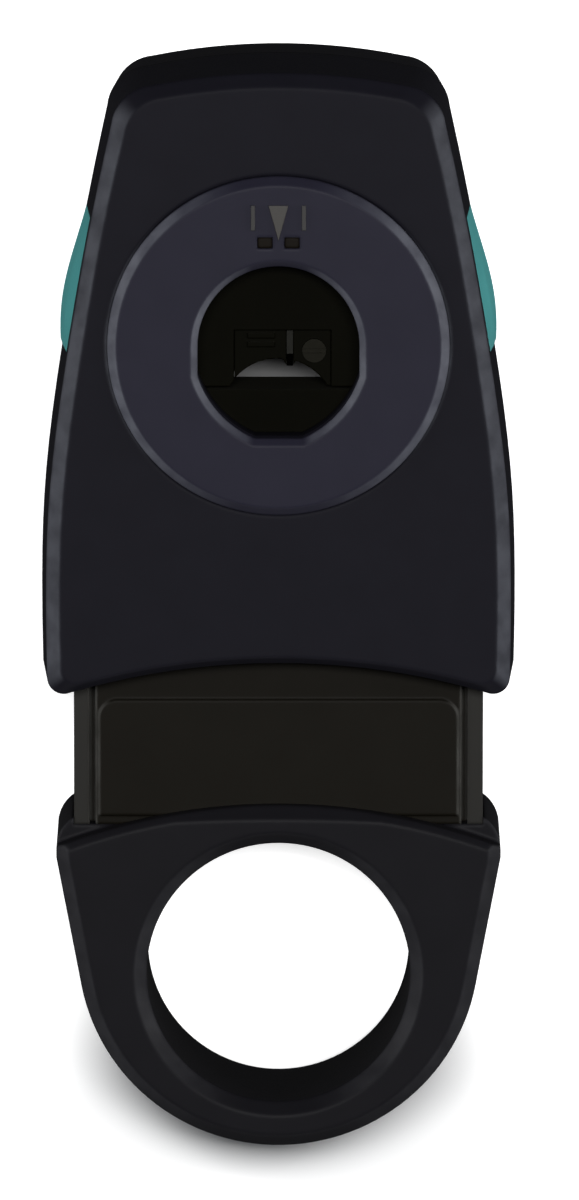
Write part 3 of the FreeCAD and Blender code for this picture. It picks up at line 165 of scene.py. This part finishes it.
def lay_over(tree, shader, share, tone):
    """A tone over the base colour, as far as the share says."""
    base = shader.inputs["Base Color"]
    tree.links.new(mix_tones(tree, share, base.links[0].from_socket, tone), base)


def vary(tree, shader, tones, mottle, roughness, spread, grain):
    """Colour between two tones after one noise, and roughness round a value after another."""
    tree.links.new(mix_tones(tree, mottle, *tones), shader.inputs["Base Color"])
    low, high = roughness - spread[0], roughness + spread[1]
    tree.links.new(map_range(tree, grain, 0.0, 1.0, low, high, soft=False), shader.inputs["Roughness"])


EDGE_SAMPLES = 8


def rounding(tree, radius):
    """Normals that turn smoothly over the edges."""
    soft = tree.nodes.new("ShaderNodeBevel")
    soft.samples = EDGE_SAMPLES
    feed(tree, radius, soft.inputs["Radius"])
    return soft.outputs["Normal"]


def add_relief(tree, shader, texture, height, strength, normal=None):
    """Fine relief from a texture, over rounded edges where their normals are given."""
    bump = tree.nodes.new("ShaderNodeBump")
    feed(tree, height, bump.inputs["Distance"])
    feed(tree, strength, bump.inputs["Strength"])
    tree.links.new(texture, bump.inputs["Height"])
    if normal:
        tree.links.new(normal, bump.inputs["Normal"])
    tree.links.new(bump.outputs["Normal"], shader.inputs["Normal"])


# Painted highlights on side edges and on faces towards the head, parting line and side bands

# The first pair: how far the normal of an edge has turned sideways, for the painted highlight on the side
# edges
# that stands in for the sheen of the side lights. PATCH: noise that breaks the painted highlight up.
# SPARED_END:
# where the full painted highlight begins, as a multiple of the spared distance. SEAM_CORE: the darkest part
# of the parting line, as a share of its half width. UPWARD: how far a face looks towards the head, for the
# painted light on those faces.
SHEEN_START, SHEEN_FULL = 0.10, 0.46
PATCH_SCALE, PATCH_DETAIL = 420, 5
PATCH_START, PATCH_FULL, PATCH_LEAST = 0.35, 0.65, 0.55
SPARED_END = 1.4
SEAM_CORE = 0.4
SEAM_TONE = (0.0008, 0.0008, 0.0008)
UPWARD_START, UPWARD_FULL = 0.7, 0.95


def beside_middle(tree, start, full):
    """0 near the middle of the tool and 1 further out on both sides."""
    return map_range(tree, calculate(tree, "ABSOLUTE", coordinate(tree, "Object", "X")), start, full)


def side_mask(tree, normal, corner):
    """Where the painted highlight of the side edges goes: 1 where a rounded edge turns left or right, 0 on
    faces; less at a corner.
    """
    axes = split(tree, normal)
    across = calculate(tree, "ABSOLUTE", calculate(tree, "MULTIPLY", axes["X"], axes["Z"]))
    less = calculate(tree, "MULTIPLY", calculate(tree, "ABSOLUTE", axes["Y"]), corner)
    return map_range(tree, calculate(tree, "SUBTRACT", across, less), SHEEN_START, SHEEN_FULL)


def add_painted_side_sheen(tree, shader, normal, tone, amount, corner=0.0, spared=None):
    """Painted highlight for the side lights' sheen: a lighter tone on the side edges, in patches, spared near
    the middle.
    """
    mask = side_mask(tree, normal, corner)
    if spared:
        mask = calculate(tree, "MULTIPLY", mask, beside_middle(tree, spared, spared * SPARED_END))
    patches = noise(tree, PATCH_SCALE, PATCH_DETAIL)
    share = map_range(tree, patches, PATCH_START, PATCH_FULL, amount * PATCH_LEAST, amount, soft=False)
    lay_over(tree, shader, calculate(tree, "MULTIPLY", mask, share), tone)


def add_seam(tree, shader, height, half_width):
    """Dark parting line round the housing at a height."""
    away = calculate(tree, "SUBTRACT", coordinate(tree, "Object", "Z"), height)
    distance = calculate(tree, "ABSOLUTE", away)
    line = map_range(tree, distance, half_width, half_width * SEAM_CORE, soft=False)
    lay_over(tree, shader, line, SEAM_TONE)


def add_side_bands(tree, shader, start, full, tone, amount):
    """Bands of another tone along both sides of the middle."""
    lay_over(tree, shader, calculate(tree, "MULTIPLY", beside_middle(tree, start, full), amount), tone)


def add_painted_top_light(tree, shader, tone):
    """Painted light: a lighter tone on the faces that look towards the head, standing in for light that does
    not reach them.
    """
    upward = map_range(tree, coordinate(tree, "Normal", "Y"), UPWARD_START, UPWARD_FULL)
    lay_over(tree, shader, upward, tone)


# Finishes

# MOTTLE: slow change of the colour. GRAIN, GRINDING: fine relief. SPREAD: how far the roughness goes
# below and above its value.
MOTTLE_SCALE, MOTTLE_DETAIL = 260, 2
GRAIN_SCALE, GRAIN_DETAIL, GRAIN_HEIGHT = 5200, 4, 0.012 * MM
MOULDED_SPREAD = (0.06, 0.08)
METAL_MOTTLE, METAL_GRAIN, METAL_DETAIL = 1400, 9000, 3
METAL_TONES, METAL_SPREAD = (0.82, 1.08), (0.08, 0.12)
GRINDING_HEIGHT, GRINDING_STRENGTH = 0.006 * MM, 0.4


def moulded(name, dark, light, roughness, specular, grain=GRAIN_SCALE, edge=0.4 * MM, side_sheen=None, relief=0.35):
    """Moulded plastic with an eroded grain, rounded edges, and a painted highlight on the side edges where
    one is given.
    """
    material, tree, shader = new_material(name, dark, roughness)
    feed(tree, specular, shader.inputs["Specular IOR Level"])
    fine = noise(tree, grain, GRAIN_DETAIL)
    mottle = noise(tree, MOTTLE_SCALE, MOTTLE_DETAIL)
    vary(tree, shader, (dark, light), mottle, roughness, MOULDED_SPREAD, fine)
    normal = rounding(tree, edge)
    add_relief(tree, shader, fine, GRAIN_HEIGHT, relief, normal)
    if side_sheen:
        add_painted_side_sheen(tree, shader, normal, **side_sheen)
    return material, tree, shader


def metal(name, colour, roughness, stretch=None):
    """Steel with fine grinding marks along one direction."""
    material, tree, shader = new_material(name, colour, roughness)
    feed(tree, 1.0, shader.inputs["Metallic"])
    marks = noise(tree, METAL_GRAIN, METAL_DETAIL, stretch)
    tones = [tuple(channel * share for channel in colour) for share in METAL_TONES]
    vary(tree, shader, tones, noise(tree, METAL_MOTTLE, METAL_DETAIL), roughness, METAL_SPREAD, marks)
    add_relief(tree, shader, marks, GRINDING_HEIGHT, GRINDING_STRENGTH)
    return material


# In each moulding below, the tone given for the side edges is a painted highlight, standing in for the sheen
# of the side lights.
HOUSING, tree, shader = moulded(
    "housing_black", (0.0045, 0.0043, 0.0064), (0.0057, 0.0055, 0.0081), 0.50, 0.035, edge=0.6 * MM,
    side_sheen={"tone": (0.049, 0.051, 0.060), "amount": 0.9, "corner": 0.4})
add_seam(tree, shader, HOUSING_DEPTH / 2, 0.11 * MM)
DISC = moulded(
    "disc_blue_grey", (0.0100, 0.0096, 0.0158), (0.0124, 0.0119, 0.0192), 0.42, 0.045, edge=0.45 * MM,
    side_sheen={"tone": (0.078, 0.081, 0.096), "amount": 0.9, "spared": 2.3 * MM})[0]
STEM, tree, shader = moulded(
    "stem_warm_black", (0.0041, 0.0035, 0.0024), (0.0053, 0.0046, 0.0033), 0.48, 0.035, edge=0.45 * MM,
    side_sheen={"tone": (0.055, 0.054, 0.050), "amount": 0.8})
# Lighter bands along the rails: a painted highlight on their rounded front edges.
add_side_bands(tree, shader, RAIL_INSIDE, RAIL_OUTSIDE, (0.0165, 0.0160, 0.0148), 0.9)
RING = moulded(
    "ring_black", (0.0044, 0.0042, 0.0052), (0.0055, 0.0053, 0.0065), 0.44, 0.04, edge=0.6 * MM,
    side_sheen={"tone": (0.03, 0.03, 0.033), "amount": 0.5})[0]
GRIP = moulded(
    "grip_turquoise", (0.050, 0.25, 0.25), (0.065, 0.29, 0.29), 0.55, 0.20, grain=3600, relief=0.8)[0]
JAW, tree, shader = moulded(
    "jaw_olive_black", (0.0011, 0.0010, 0.0003), (0.0017, 0.0016, 0.0006), 0.52, 0.015, edge=0.15 * MM)
# Painted light on the jaw faces that look towards the head.
add_painted_top_light(tree, shader, (0.0130, 0.0125, 0.0100))
MARK, tree, shader = moulded(
    "mark_grey", (0.020, 0.0185, 0.0165), (0.028, 0.026, 0.0235), 0.5, 0.2, edge=0.1 * MM)
add_side_bands(tree, shader, BAR_INSIDE, BAR_OUTSIDE, (0.0130, 0.0124, 0.0125), 0.9)
INK = moulded("ink_brown_black", (0.0030, 0.0022, 0.0014), (0.0050, 0.0036, 0.0022), 0.6, 0.05)[0]
STEEL = metal("steel", (0.52, 0.52, 0.53), 0.34)
BLACKENED = metal("blackened_steel", (0.0065, 0.0062, 0.0048), 0.44)
BLADE = metal("blade_steel", (0.009, 0.009, 0.008), 0.42, stretch=(1, 14, 1))
SCREW = metal("zinc_steel", (0.50, 0.50, 0.52), 0.38)
SPRING = metal("spring_wire", (0.42, 0.42, 0.44), 0.3, stretch=(1, 6, 1))

FINISH = {
    "front_shell": HOUSING,
    "rear_shell": HOUSING,
    "guide_disc": DISC,
    "disc_mark": MARK,
    "grip_insert_left": GRIP,
    "grip_insert_right": GRIP,
    "anvil_jaw": JAW,
    "anvil_pins": STEEL,
    "spring_guide_rods": STEEL,
    "housing_screws": SCREW,
    "slider_frame": STEM,
    "finger_ring": RING,
    "ring_pins": STEEL,
    "clamp_jaw": JAW,
    "jaw_screws": SCREW,
    "blade_carrier": JAW,
    "slitting_blade": BLADE,
    "blade_screw": BLACKENED,
    "cross_cut_blade": BLADE,
    "blade_clamp_plate": STEEL,
    "clamp_plate_screws": SCREW,
    "return_spring_left": SPRING,
    "return_spring_right": SPRING,
}

for name, material in FINISH.items():
    mesh = NODES[name].data
    mesh.materials.clear()
    mesh.materials.append(material)


# Pieces of the scene

def add_object(name, data):
    """An object in the scene's own collection."""
    added = bpy.data.objects.new(name, data)
    scene.collection.objects.link(added)
    return added


def add_piece(name, data, material, body):
    """A new piece of the object that rides on a body."""
    piece = add_object(name, data)
    data.materials.clear()
    data.materials.append(material)
    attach(piece, body)
    return piece


def to_data(mesh, name):
    """Mesh data from a mesh that is then freed."""
    data = bpy.data.meshes.new(name)
    mesh.to_mesh(data)
    mesh.free()
    return data


def join_rings(mesh, rings):
    """Skin over rings of corners, closed at both ends."""
    for first, second in zip(rings, rings[1:]):
        for index in range(len(first)):
            after = (index + 1) % len(first)
            mesh.faces.new((first[index], first[after], second[after], second[index]))
    mesh.faces.new(rings[0][::-1])
    mesh.faces.new(rings[-1])


# Return springs: round wire, with closed and ground ends

# The pitch opens over EASE_LENGTH turns, from EASE_START turns off either end.
CLOSED_TURNS = 0.9
EASE_START, EASE_LENGTH = 0.6 * CLOSED_TURNS, 0.8 * CLOSED_TURNS
STEPS_PER_TURN = 56
WIRE_SIDES = 10
GROUND_OFF = 0.2 * SPRING_WIRE


def spring_line(length, radius, wire, turns):
    """Centre line of a compression spring along Y: close turns at both ends, open ones between."""
    points = []
    pitch = (length - wire * (1 + 2 * CLOSED_TURNS)) / (turns - 2 * CLOSED_TURNS)
    height = wire / 2
    for step in range(int(turns * STEPS_PER_TURN) + 1):
        turn = step / STEPS_PER_TURN
        angle = 2 * math.pi * turn
        points.append(Vector((radius * math.cos(angle), height, radius * math.sin(angle))))
        end = min(turn, turns - turn)
        blend = min(1.0, max(0.0, (end - EASE_START) / EASE_LENGTH))
        height += (wire + (pitch - wire) * blend * blend * (3 - 2 * blend)) / STEPS_PER_TURN
    scale = (length - wire) / (points[-1].y - points[0].y)
    for point in points:
        point.y = wire / 2 + (point.y - wire / 2) * scale
    return points


def tube_mesh(name, points, radius, lowest, highest):
    """Round wire along a line round Y, with its ends ground flat at two heights."""
    mesh = bmesh.new()
    rings = []
    for index, point in enumerate(points):
        ahead = points[min(index + 1, len(points) - 1)]
        behind = points[max(index - 1, 0)]
        along = (ahead - behind).normalized()
        outward = Vector((point.x, 0, point.z)).normalized()
        upward = along.cross(outward).normalized()
        ring = []
        for side in range(WIRE_SIDES):
            angle = 2 * math.pi * side / WIRE_SIDES
            place = point + outward * radius * math.cos(angle) + upward * radius * math.sin(angle)
            place.y = min(max(place.y, lowest), highest)
            ring.append(mesh.verts.new(place))
        rings.append(ring)
    join_rings(mesh, rings)
    bmesh.ops.recalc_face_normals(mesh, faces=mesh.faces)
    data = to_data(mesh, name)
    for polygon in data.polygons:
        polygon.use_smooth = True
    return data


for side in ("left", "right"):
    name, node = f"spring_{side}", f"return_spring_{side}"
    low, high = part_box(node)
    centre = (low + high) / 2
    radius = (high.x - low.x) / 2 - SPRING_WIRE / 2
    line = spring_line(SPRING_LENGTH, radius, SPRING_WIRE, SPRING_TURNS)
    data = tube_mesh(name, line, SPRING_WIRE / 2, GROUND_OFF, SPRING_LENGTH - GROUND_OFF)
    data.transform(Matrix.Translation((centre.x, SPRING_SEAT - SPRING_LENGTH, centre.z)))
    spring = add_piece(name, data, SPRING, "housing")
    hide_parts(node)
    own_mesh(spring)


# Dark fill in the two notches of the guide disc

FILL_SUNK, FILL_GAP, FILL_CORNER = 0.08 * MM, 0.04 * MM, 0.2 * MM
CORNER_SEGMENTS = 4


def rounded_plate(name, low, high, corner):
    """Thin plate with rounded upright corners."""
    mesh = bmesh.new()
    bmesh.ops.create_cube(mesh, size=1.0)
    for vertex in mesh.verts:
        for axis in range(3):
            vertex.co[axis] = low[axis] if vertex.co[axis] < 0 else high[axis]
    half = (high[2] - low[2]) / 2
    upright = [edge for edge in mesh.edges if abs(edge.verts[0].co.z - edge.verts[1].co.z) > half]
    bmesh.ops.bevel(mesh, geom=upright, offset=corner, segments=CORNER_SEGMENTS, profile=0.5, affect="EDGES")
    return to_data(mesh, name)


disc_low, disc_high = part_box("guide_disc")
hole_y = (disc_low.y + disc_high.y) / 2

for side, sign in (("left", -1), ("right", 1)):
    name = f"notch_fill_{side}"
    middle = sign * NOTCH_MIDDLE
    fill = rounded_plate(
        name,
        (middle - NOTCH_HALF + FILL_GAP, hole_y + NOTCH_LOW + FILL_GAP, disc_high.z - NOTCH_DEPTH),
        (middle + NOTCH_HALF - FILL_GAP, hole_y + NOTCH_HIGH - FILL_GAP, disc_high.z - FILL_SUNK),
        FILL_CORNER)
    add_piece(name, fill, INK, "housing")


# Screws with driven recesses

# A slot's half width as a share of its reach, the bottom of a cross as a share of its top, and where a
# cutter starts above the head, as a share of its depth.
WELD = 0.0005 * MM
SLOT_HALF = 0.17
CROSS_TAPER = 0.45
CUTTER_START = -0.3


def islands(mesh):
    """Boxes of the separate solids of a mesh, in the order of their first vertices."""
    reached = set()
    boxes = []
    for start in mesh.verts:
        if start in reached:
            continue
        reached.add(start)
        solid = [start]
        for vertex in solid:
            for edge in vertex.link_edges:
                neighbour = edge.other_vert(vertex)
                if neighbour not in reached:
                    reached.add(neighbour)
                    solid.append(neighbour)
        low = Vector([min(vertex.co[axis] for vertex in solid) for axis in range(3)])
        high = Vector([max(vertex.co[axis] for vertex in solid) for axis in range(3)])
        boxes.append((low, high))
    return boxes


def add_cutter(mesh, origin, inward, reach, arm, depth):
    """Tapered cross, or a straight slot where arm is None, that reaches into a head."""
    across = Vector((1, 0, 0))
    upward = inward.cross(across).normalized()
    if arm is None:
        taper, width = 1.0, reach * SLOT_HALF
        outline = [(-reach, -width), (reach, -width), (reach, width), (-reach, width)]
    else:
        taper = CROSS_TAPER
        outline = [(arm, arm), (arm, reach), (-arm, reach), (-arm, arm), (-reach, arm), (-reach, -arm),
                   (-arm, -arm), (-arm, -reach), (arm, -reach), (arm, -arm), (reach, -arm), (reach, arm)]
    rings = []
    for share, scale in ((CUTTER_START, 1.0), (0.0, 1.0), (1.0, taper)):
        level = origin + inward * depth * share
        rings.append([mesh.verts.new(level + across * x * scale + upward * y * scale) for x, y in outline])
    join_rings(mesh, rings)


def carved(plain, tool):
    """Mesh data of a piece that a tool has cut into; neither object is kept."""
    pieces = [add_object("plain", plain), add_object("cutter", tool)]
    carve = pieces[0].modifiers.new("recess", "BOOLEAN")
    carve.operation = "DIFFERENCE"
    carve.solver = "EXACT"
    carve.object = pieces[1]
    bpy.context.view_layer.update()
    graph = bpy.context.evaluated_depsgraph_get()
    data = bpy.data.meshes.new_from_object(pieces[0].evaluated_get(graph))
    for piece in pieces:
        bpy.data.objects.remove(piece)
    return data


def welded(data):
    """Mesh of some mesh data, with its seams closed."""
    mesh = bmesh.new()
    mesh.from_mesh(data)
    bmesh.ops.remove_doubles(mesh, verts=mesh.verts, dist=WELD)
    return mesh


def driven_screws(name, node, inward, reach, arm, depth, material, body):
    """Screws of a node with a recess in each head, in place of the plain ones."""
    inward = Vector(inward)
    axis = max(range(3), key=lambda index: abs(inward[index]))
    mesh = welded(NODES[node].data)
    cutter = bmesh.new()
    for low, high in islands(mesh):
        origin = (low + high) / 2
        origin[axis] = low[axis] if inward[axis] > 0 else high[axis]
        add_cutter(cutter, origin, inward, reach, arm, depth)
    bmesh.ops.recalc_face_normals(cutter, faces=cutter.faces)
    data = carved(to_data(mesh, name), to_data(cutter, "cutter"))
    shape = welded(data)
    shape.to_mesh(data)
    shape.free()
    screws = add_piece(name, data, material, body)
    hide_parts(node)


driven_screws("cross_head_screws", "housing_screws", (0, 0, 1),
              1.05 * MM, 0.21 * MM, 1.1 * MM, SCREW, "housing")
driven_screws("plate_cross_screws", "clamp_plate_screws", (0, 0, 1),
              1.0 * MM, 0.2 * MM, 0.8 * MM, SCREW, "slider")
driven_screws("jaw_cross_screws", "jaw_screws", (0, -1, 0),
              1.0 * MM, 0.2 * MM, 0.8 * MM, SCREW, "slider")
driven_screws("slotted_blade_screw", "blade_screw", (0, 0, -1),
              1.4 * MM, None, 0.28 * MM, BLACKENED, "slider")


# Floor: white to the camera, with the object's shadow

# It glows a little, so that it is white in the finger bore too, but neither round SHADE, where the shadow
# of the ring falls, nor round HOLE, where its colour is also painted darker: painted shade for the spot
# between the jaws.
FLOOR_SIZE, FLOOR_DROP = 3.0, 0.02 * MM
FLOOR_TONE, FLOOR_ROUGHNESS = 0.93, 0.9
FLOOR_GLOW = 0.75
FLOOR_UNSEEN = (0.05, 0.05, 0.05)
SHADE, SHADE_STRETCH = (0, -57.0 * MM, 0), (1, 3, 1)
SHADE_REACH, SHADE_END = 20.0 * MM, 60.0 * MM
HOLE, HOLE_REACH, HOLE_END = (0, 24.0 * MM, 0), 11.2 * MM, 14.0 * MM
# Painted shade: the floor's colour under the hole.
HOLE_TONE = 0.25


def distance_from(tree, centre, stretch=(1, 1, 1)):
    """Distance of a place on the floor from a centre, with each axis stretched by its share."""
    place = tree.nodes.new("ShaderNodeTexCoord")
    scaled = tree.nodes.new("ShaderNodeVectorMath")
    scaled.operation = "MULTIPLY"
    scaled.inputs[1].default_value = stretch
    tree.links.new(place.outputs["Object"], scaled.inputs[0])
    away = tree.nodes.new("ShaderNodeVectorMath")
    away.operation = "DISTANCE"
    away.inputs[1].default_value = [value * share for value, share in zip(centre, stretch)]
    tree.links.new(scaled.outputs["Vector"], away.inputs[0])
    return away.outputs["Value"]


def add_floor():
    """Pale floor that keeps the object's shadow; it looks dark to mirror-like reflections."""
    bpy.ops.mesh.primitive_plane_add(size=FLOOR_SIZE, location=(0, 0, -FLOOR_DROP))
    floor = bpy.context.object
    floor.name = "floor"
    material, tree, shader = new_material("floor_white", (FLOOR_TONE,) * 3, FLOOR_ROUGHNESS)
    feed(tree, 0.0, shader.inputs["Specular IOR Level"])
    feed(tree, FLOOR_GLOW, shader.inputs["Emission Strength"])
    beyond = map_range(tree, distance_from(tree, SHADE, SHADE_STRETCH), SHADE_REACH, SHADE_END)
    outside = map_range(tree, distance_from(tree, HOLE), HOLE_REACH, HOLE_END)
    feed(tree, calculate(tree, "MINIMUM", beyond, outside), shader.inputs["Emission Color"])
    tone = calculate(tree, "MULTIPLY", outside, FLOOR_TONE - HOLE_TONE)
    feed(tree, calculate(tree, "ADD", tone, HOLE_TONE), shader.inputs["Base Color"])
    unseen = tree.nodes.new("ShaderNodeBsdfDiffuse")
    feed(tree, FLOOR_UNSEEN, unseen.inputs["Color"])
    path = tree.nodes.new("ShaderNodeLightPath")
    mix = tree.nodes.new("ShaderNodeMixShader")
    tree.links.new(path.outputs["Is Camera Ray"], mix.inputs["Fac"])
    tree.links.new(unseen.outputs["BSDF"], mix.inputs[1])
    tree.links.new(shader.outputs["BSDF"], mix.inputs[2])
    tree.links.new(mix.outputs["Shader"], tree.nodes["Material Output"].inputs["Surface"])
    floor.data.materials.append(material)
    return floor


floor = add_floor()
floor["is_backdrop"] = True


# Light: one softbox above, and three strips that draw the edges and leave the floor alone

# Name, place, aim, size, power, and whether it lights the floor
LIGHTS = [
    ("top_light", (0.04, 0.29, 1.14), (0, 0, 0), (0.52, 0.20), 16.0, True),
    ("left_strip", (-0.80, 0.10, 0.13), (0, 0, 0.02), (0.20, 0.9), 6.0, False),
    ("right_strip", (0.80, 0.10, 0.13), (0, 0, 0.02), (0.20, 0.9), 7.0, False),
    ("low_strip", (0, -0.85, 0.16), (0, 0, 0.02), (0.9, 0.20), 2.6, False),
]
SKY_TONE, SKY_STRENGTH = (0.9, 0.95, 1.0), 0.10

unlit = bpy.data.collections.new("unlit_by_strips")
unlit.objects.link(floor)
unlit.collection_objects[0].light_linking.link_state = "EXCLUDE"

for name, place, aim, size, power, lights_floor in LIGHTS:
    data = bpy.data.lights.new(name, "AREA")
    data.shape = "RECTANGLE"
    data.size, data.size_y = size
    data.energy = power
    light = add_object(name, data)
    light.location = place
    light.rotation_euler = (Vector(aim) - Vector(place)).to_track_quat("-Z", "Y").to_euler()
    if not lights_floor:
        light.light_linking.receiver_collection = unlit

world = bpy.data.worlds.new("studio")
scene.world = world
world.use_nodes = True
background = world.node_tree.nodes["Background"]
feed(world.node_tree, SKY_TONE, background.inputs["Color"])
feed(world.node_tree, SKY_STRENGTH, background.inputs["Strength"])


# Camera: above the tool, a little towards its head

TILT = math.radians(10.0)
DISTANCE = 1.5
AIM_Y = 1.45 * MM
PICTURE_HEIGHT = 115.85 * MM
SENSOR = 36.0
SHIFT = 0.0092
NEAREST, FURTHEST = 0.05, 10.0

camera_data = bpy.data.cameras.new("camera")
camera_data.sensor_width = SENSOR
camera_data.lens = SENSOR * DISTANCE / PICTURE_HEIGHT
camera_data.shift_x = SHIFT
camera_data.clip_start = NEAREST
camera_data.clip_end = FURTHEST
camera = add_object("camera", camera_data)
camera.location = (0, AIM_Y + DISTANCE * math.sin(TILT), HOUSING_DEPTH + DISTANCE * math.cos(TILT))
camera.rotation_euler = (-TILT, 0, 0)
scene.camera = camera
scene.view_settings.view_transform = "Standard"

low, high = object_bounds()
